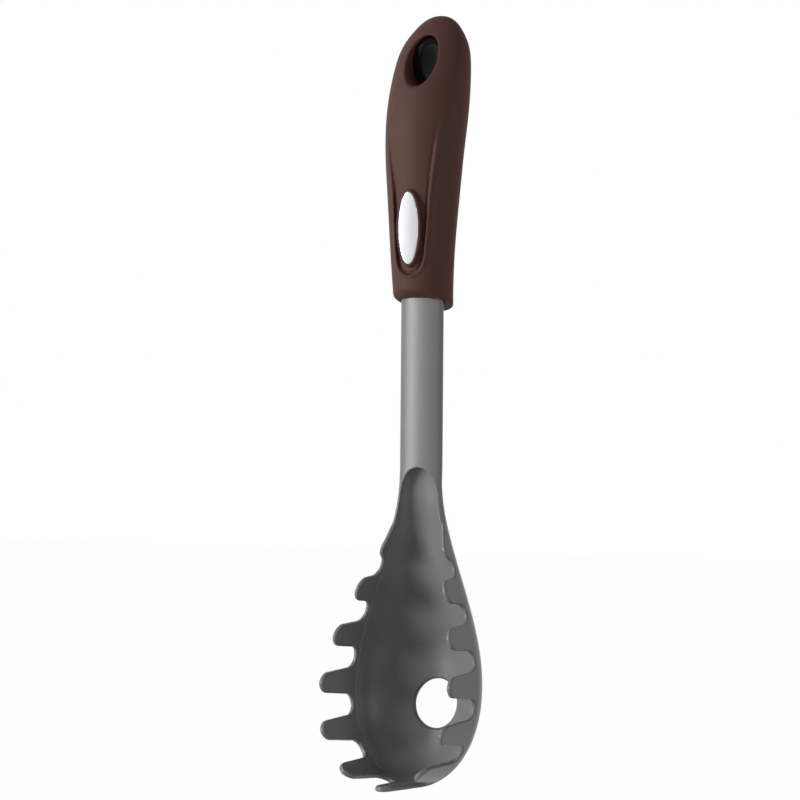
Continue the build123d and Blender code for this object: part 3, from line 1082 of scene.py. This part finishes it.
@dataclass
class BadgePlate:
    """Bare oval plate with a rounded, polished edge and two locating pins."""

    half_width: float = 4.8
    half_height: float = 15.0
    thickness: float = 1.2
    edge: float = 0.45
    dome: float = 0.3
    pin_radius: float = 0.9
    pin_length: float = 3.2
    pin_spacing: float = 16.0
    pin_sides: int = 24
    pin_rows: int = 4
    weld: float = 0.004
    turns: int = 128
    rings: int = 12
    edge_rings: int = 5

    def start(self, seat: SoftGrip) -> PieceTree:
        """Start the plate's tree with its sizes and its seat's place.

        Args:
            seat: The grip whose seat holds the plate.

        Returns:
            The tree, with an input for each size.
        """
        lengths = {
            "Half width": self.half_width,
            "Half height": self.half_height,
            "Thickness": self.thickness,
            "Edge": self.edge,
            "Dome": self.dome,
            "Pin radius": self.pin_radius,
            "Pin length": self.pin_length,
            "Pin spacing": self.pin_spacing,
            "Seat front": seat.badge_front,
            "Seat level": seat.badge_level,
        }
        sizes = {label: size * MM for label, size in lengths.items()}
        sizes["Tilt"] = math.pi / 2 - math.radians(seat.badge_lean_deg)
        return PieceTree("badge_face", sizes | {"Turns": self.turns, "Rings": self.rings})

    def work_out(self, tree: PieceTree) -> None:
        """Add the plate's sums to the tree's numbers, each from the sizes and the sums above it.

        Args:
            tree: The tree that gets the sums.
        """
        place = add_node(tree.group, "GeometryNodeInputPosition", {}, {})
        spot = add_node(tree.group, "ShaderNodeSeparateXYZ", {}, {0: place.outputs[0]})
        known = tree.numbers
        known["x"], known["y"] = spot.outputs["X"], spot.outputs["Y"]
        for name, operation, *terms in (
            # The grid: columns go round the plate, rows over its face, round its edge and under it
            ("columns", "ADD", "Turns", 1.0),
            ("rows", "ADD", "Rings", self.edge_rings + 3.0),
            ("turn", "MULTIPLY", "x", 2 * math.pi),
            ("cosine", "COSINE", "turn"),
            ("sine", "SINE", "turn"),
            ("last ring", "ADD", "Rings", self.edge_rings + 2.0),
            ("row share", "ADD", "y", 0.5),
            ("ring", "MULTIPLY", "row share", "last ring"),
            ("past face", "SUBTRACT", "ring", "Rings"),
            ("under", "GREATER_THAN", "past face", self.edge_rings + 0.5),
            ("above", "SUBTRACT", 1.0, "under"),
            ("closing", "GREATER_THAN", "past face", self.edge_rings + 1.5),
            ("open", "SUBTRACT", 1.0, "closing"),
            # The face: each ring is a smaller oval
            ("face run", "DIVIDE", "ring", "Rings"),
            ("face share", "MINIMUM", "face run", 1.0),
            ("share", "SUBTRACT", "face share", "closing"),
            ("face width", "SUBTRACT", "Half width", "Edge"),
            ("face height", "SUBTRACT", "Half height", "Edge"),
            ("oval x", "MULTIPLY", "face width", "cosine"),
            ("oval y", "MULTIPLY", "face height", "sine"),
            ("inner x", "MULTIPLY", "oval x", "share"),
            ("inner y", "MULTIPLY", "oval y", "share"),
            # The rounded edge: it rolls outwards, square to the oval
            ("edge run", "DIVIDE", "past face", self.edge_rings),
            ("edge begun", "MAXIMUM", "edge run", 0.0),
            ("edge share", "MINIMUM", "edge begun", 1.0),
            ("roll", "MULTIPLY", "edge share", math.pi / 2),
            ("roll sine", "SINE", "roll"),
            ("open edge", "MULTIPLY", "Edge", "open"),
            ("out", "MULTIPLY", "roll sine", "open edge"),
            ("lean x", "MULTIPLY", "cosine", "Half height"),
            ("lean y", "MULTIPLY", "sine", "Half width"),
            ("lean x square", "POWER", "lean x", 2.0),
            ("lean y square", "POWER", "lean y", 2.0),
            ("lean square", "ADD", "lean x square", "lean y square"),
            ("lean", "SQRT", "lean square"),
            ("way x", "DIVIDE", "lean x", "lean"),
            ("way y", "DIVIDE", "lean y", "lean"),
            ("edge x", "MULTIPLY", "way x", "out"),
            ("edge y", "MULTIPLY", "way y", "out"),
            ("plate x", "ADD", "inner x", "edge x"),
            ("plate y", "ADD", "inner y", "edge y"),
            # Heights: the dome's top lies at zero, the edge and the side fall away from it
            ("share square", "POWER", "share", 2.0),
            ("dome share", "SUBTRACT", 1.0, "share square"),
            ("dome rise", "MULTIPLY", "dome share", "Dome"),
            ("face rise", "MULTIPLY", "dome rise", "above"),
            ("face z", "SUBTRACT", "face rise", "Dome"),
            ("roll cosine", "COSINE", "roll"),
            ("roll share", "SUBTRACT", 1.0, "roll cosine"),
            ("edge drop", "MULTIPLY", "roll share", "Edge"),
            ("edge z", "SUBTRACT", "face z", "edge drop"),
            ("side", "SUBTRACT", "Thickness", "Edge"),
            ("side drop", "MULTIPLY", "side", "under"),
            ("plate z", "SUBTRACT", "edge z", "side drop"),
            # The pins' places
            ("first pin", "MULTIPLY", "Pin spacing", -0.5),
            ("pin middle", "MULTIPLY", "Pin length", -0.5),
            ("behind", "SUBTRACT", "pin middle", "Thickness"),
            # What lies outside the face's oval
            ("spot x", "DIVIDE", "x", "face width"),
            ("spot y", "DIVIDE", "y", "face height"),
            ("spot x square", "POWER", "spot x", 2.0),
            ("spot y square", "POWER", "spot y", 2.0),
            ("reach", "ADD", "spot x square", "spot y square"),
            ("outside", "GREATER_THAN", "reach", 1.0),
        ):
            fixed = {i: term for i, term in enumerate(terms) if not isinstance(term, str)}
            linked = {i: known[term] for i, term in enumerate(terms) if isinstance(term, str)}
            step = add_node(tree.group, "ShaderNodeMath", {".operation": operation, **fixed}, linked)
            known[name] = step.outputs[0]

    def plate(self, tree: PieceTree) -> bpy.types.NodeSocket:
        """Bend a grid into the plate and close it.

        Args:
            tree: The tree that gets the plate.

        Returns:
            The socket that carries the plate.
        """
        group, known = tree.group, tree.numbers
        counts = {"Vertices X": known["columns"], "Vertices Y": known["rows"]}
        grid = add_node(group, "GeometryNodeMeshGrid", {"Size X": 1.0, "Size Y": 1.0}, counts)
        axes = {0: known["plate x"], 1: known["plate y"], 2: known["plate z"]}
        bent = add_node(group, "ShaderNodeCombineXYZ", {}, axes)
        places = {"Geometry": grid.outputs[0], "Position": bent.outputs[0]}
        moved = add_node(group, "GeometryNodeSetPosition", {}, places)
        reach = {"Distance": self.weld * MM}
        return add_node(group, "GeometryNodeMergeByDistance", reach, {0: moved.outputs[0]}).outputs[0]

    def pins(self, tree: PieceTree) -> bpy.types.NodeSocket:
        """Stand a pin on each of two points behind the plate.

        Args:
            tree: The tree that gets the pins.

        Returns:
            The socket that carries the pins.
        """
        group, known = tree.group, tree.numbers
        counts = {"Vertices": self.pin_sides, "Side Segments": self.pin_rows}
        sizes = {"Radius": known["Pin radius"], "Depth": known["Pin length"]}
        pin = add_node(group, "GeometryNodeMeshCylinder", counts, sizes)
        first = add_node(group, "ShaderNodeCombineXYZ", {}, {1: known["first pin"], 2: known["behind"]})
        stride = add_node(group, "ShaderNodeCombineXYZ", {}, {1: known["Pin spacing"]})
        ends = {"Start Location": first.outputs[0], "Offset": stride.outputs[0]}
        line = add_node(group, "GeometryNodeMeshLine", {".mode": "OFFSET", "Count": 2}, ends)
        stood = {"Points": line.outputs[0], "Instance": pin.outputs[0]}
        return add_node(group, "GeometryNodeInstanceOnPoints", {}, stood).outputs[0]

    def build(self, seat: SoftGrip, face: bpy.types.Material, rim: bpy.types.Material) -> bpy.types.Object:
        """Make the plate in its seat.

        Args:
            seat: The grip whose seat holds the plate.
            face: Material of the face.
            rim: Material of the rounded edge.

        Returns:
            The plate's object.
        """
        tree = self.start(seat)
        self.work_out(tree)
        group, known = tree.group, tree.numbers
        joined = add_node(group, "GeometryNodeJoinGeometry", {}, {})
        for part in (self.plate(tree), self.pins(tree)):
            group.links.new(part, joined.inputs[0])
        whole = add_node(group, "GeometryNodeRealizeInstances", {}, {0: joined.outputs[0]})
        soft = add_node(group, "GeometryNodeSetShadeSmooth", {}, {0: whole.outputs[0]})
        faced = add_node(group, "GeometryNodeSetMaterial", {"Material": face}, {0: soft.outputs[0]})
        border = {"Geometry": faced.outputs[0], "Selection": known["outside"]}
        edged = add_node(group, "GeometryNodeSetMaterial", {"Material": rim}, border)
        seat_axes = {1: known["Seat front"], 2: known["Seat level"]}
        seated = add_node(group, "ShaderNodeCombineXYZ", {}, seat_axes)
        tilted = add_node(group, "ShaderNodeCombineXYZ", {}, {0: known["Tilt"]})
        spots = {0: edged.outputs[0], "Translation": seated.outputs[0], "Rotation": tilted.outputs[0]}
        return tree.bake(add_node(group, "GeometryNodeTransform", {}, spots).outputs[0])


@dataclass(frozen=True)
class Softbox:
    """A tall soft lamp: its way round from the front, rising to the right, and its size in metres."""

    name: str
    azimuth_deg: float
    width: float
    height: float
    watts: float


@dataclass
class Studio:
    """Camera, lamps, floor and background, in metres."""

    target: Vector = Vector((0, -16 * MM, -140.3 * MM))
    azimuth_deg: float = 32.0
    elevation_deg: float = 0.5
    roll_deg: float = 0.45
    distance: float = 2.5
    focal_px: float = 6070.3
    width_px: int = 800
    sensor_mm: float = 36.0
    clip: tuple[float, float] = (0.1, 20.0)
    lamp_distance: float = 1.6
    softboxes: tuple[Softbox, ...] = (
        Softbox("key_left", azimuth_deg=-44.0, width=0.45, height=1.5, watts=52.0),
        Softbox("fill_right", azimuth_deg=72.0, width=0.45, height=1.2, watts=8.8),
        Softbox("rim_right", azimuth_deg=112.0, width=0.3, height=1.2, watts=3.0),
    )
    world_strength: float = 0.1
    floor_colour: str = "CCCCCC"
    floor_roughness: float = 0.9
    floor_half: float = 3.0
    floor_drop: float = 20 * MM
    white_share: float = 0.985

    def back(self) -> Vector:
        """Way from the target to the camera."""
        turn, rise = math.radians(self.azimuth_deg), math.radians(self.elevation_deg)
        return Vector((math.sin(turn) * math.cos(rise), -math.cos(turn) * math.cos(rise), math.sin(rise)))

    def camera(self) -> None:
        """Make the camera at the photograph's angle."""
        data = bpy.data.cameras.new("photo_view")
        data.sensor_width = self.sensor_mm
        data.lens = self.focal_px * self.sensor_mm / self.width_px
        data.clip_start, data.clip_end = self.clip
        camera = add_object("photo_view", data)
        back = self.back()
        right = Vector((0, 0, 1)).cross(back).normalized()
        up = back.cross(right)
        roll = math.radians(self.roll_deg)
        right, up = (
            math.cos(roll) * right + math.sin(roll) * up,
            math.cos(roll) * up - math.sin(roll) * right,
        )
        turned = Matrix((right, up, back)).transposed().to_4x4()
        camera.matrix_world = Matrix.Translation(self.target + back * self.distance) @ turned
        bpy.context.scene.camera = camera

    def lamp(self, box: Softbox) -> None:
        """Hang a softbox so that it faces the target and no tine throws a sharp shadow.

        Args:
            box: The lamp's place, size and power.
        """
        data = bpy.data.lights.new(box.name, "AREA")
        data.shape, data.energy = "RECTANGLE", box.watts
        data.size, data.size_y = box.width, box.height
        lamp = add_object(box.name, data)
        turn = math.radians(box.azimuth_deg)
        lamp.location = self.target + self.lamp_distance * Vector((math.sin(turn), -math.cos(turn), 0.0))
        lamp.rotation_euler = (self.target - lamp.location).to_track_quat("-Z", "Y").to_euler()

    def seen_directly(self, tree: bpy.types.NodeTree) -> bpy.types.NodeSocket:
        """Tell whether the camera sees a surface, straight or in a mirror or glass.

        Args:
            tree: The material's or the world's tree.

        Returns:
            The socket that is 1 where it does.
        """
        path = add_node(tree, "ShaderNodeLightPath", {}, {})
        kinds = {0: path.outputs["Is Camera Ray"], 1: path.outputs["Is Glossy Ray"]}
        either = add_node(tree, "ShaderNodeMath", {".operation": "MAXIMUM"}, kinds)
        kinds = {0: either.outputs[0], 1: path.outputs["Is Transmission Ray"]}
        return add_node(tree, "ShaderNodeMath", {".operation": "MAXIMUM"}, kinds).outputs[0]

    def floor(self, level: float) -> None:
        """Lay a pale floor that shows as white ground and keeps the shadow.

        Args:
            level: The floor's height in metres.
        """
        mesh = bpy.data.meshes.new("floor")
        half = self.floor_half
        corners = [(-half, -half, level), (half, -half, level), (half, half, level), (-half, half, level)]
        mesh.from_pydata(corners, [], [(0, 1, 2, 3)])
        floor = add_object("floor", mesh)
        material = bpy.data.materials.new("pale_floor")
        material.use_nodes = True
        tree = material.node_tree
        shader = tree.nodes["Principled BSDF"]
        shader.inputs["Base Color"].default_value = linear(self.floor_colour)
        shader.inputs["Roughness"].default_value = self.floor_roughness
        seen = self.seen_directly(tree)
        share = add_node(tree, "ShaderNodeMath", {".operation": "MULTIPLY", 1: self.white_share}, {0: seen})
        white = add_node(tree, "ShaderNodeEmission", {"Color": (1, 1, 1, 1), "Strength": 1.0}, {})
        parts = {0: share.outputs[0], 1: shader.outputs[0], 2: white.outputs[0]}
        mixed = add_node(tree, "ShaderNodeMixShader", {}, parts)
        tree.links.new(mixed.outputs[0], tree.nodes["Material Output"].inputs["Surface"])
        mesh.materials.append(material)
        floor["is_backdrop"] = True

    def world(self) -> None:
        """Light the object evenly and show a white ground behind it."""
        world = bpy.data.worlds.new("studio")
        bpy.context.scene.world = world
        world.use_nodes = True
        tree = world.node_tree
        tree.nodes.clear()
        seen = self.seen_directly(tree)
        white = add_node(tree, "ShaderNodeBackground", {"Color": (1, 1, 1, 1), "Strength": 1.0}, {})
        even = {"Color": (1, 1, 1, 1), "Strength": self.world_strength}
        soft = add_node(tree, "ShaderNodeBackground", even, {})
        parts = {0: seen, 1: soft.outputs[0], 2: white.outputs[0]}
        mixed = add_node(tree, "ShaderNodeMixShader", {}, parts)
        add_node(tree, "ShaderNodeOutputWorld", {}, {0: mixed.outputs[0]})

    def build(self, level: float) -> None:
        """Set up the whole studio.

        Args:
            level: Height of the object's lowest point in metres.
        """
        self.camera()
        for box in self.softboxes:
            self.lamp(box)
        self.world()
        self.floor(level - self.floor_drop)


def main() -> None:
    """Make, dress and report every piece, then build the studio round them."""
    logging.basicConfig(level=logging.INFO)
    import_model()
    cad_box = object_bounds()
    bpy.context.scene.view_settings.view_transform = "Standard"
    nylon, skin = NylonHead(), SoftGrip()
    head = nylon.mesh("nylon_head")
    head.data.materials.append(NYLON.make())
    grip = skin.mesh("grip_skin")
    grip.data.materials.append(SOFT_TOUCH.make())
    core = HandleCore(skin=skin, head=nylon).mesh("core_web")
    core.data.materials.append(CORE.make())
    badge = BadgePlate().build(skin, BADGE.make(), BADGE_RIM.make())
    for piece, node, slot in (
        (head, "pasta_head", "nylon"),
        (core, "handle_core", "core"),
        (grip, "soft_grip", "grip"),
        (badge, "badge_plate", "badge"),
    ):
        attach(piece, "root")
        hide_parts(node)
        log.info("%s has %d faces and stands for %s", piece.name, len(piece.data.polygons), node)
    Studio().build(cad_box[0].z)


if __name__ == "__main__":
    main()
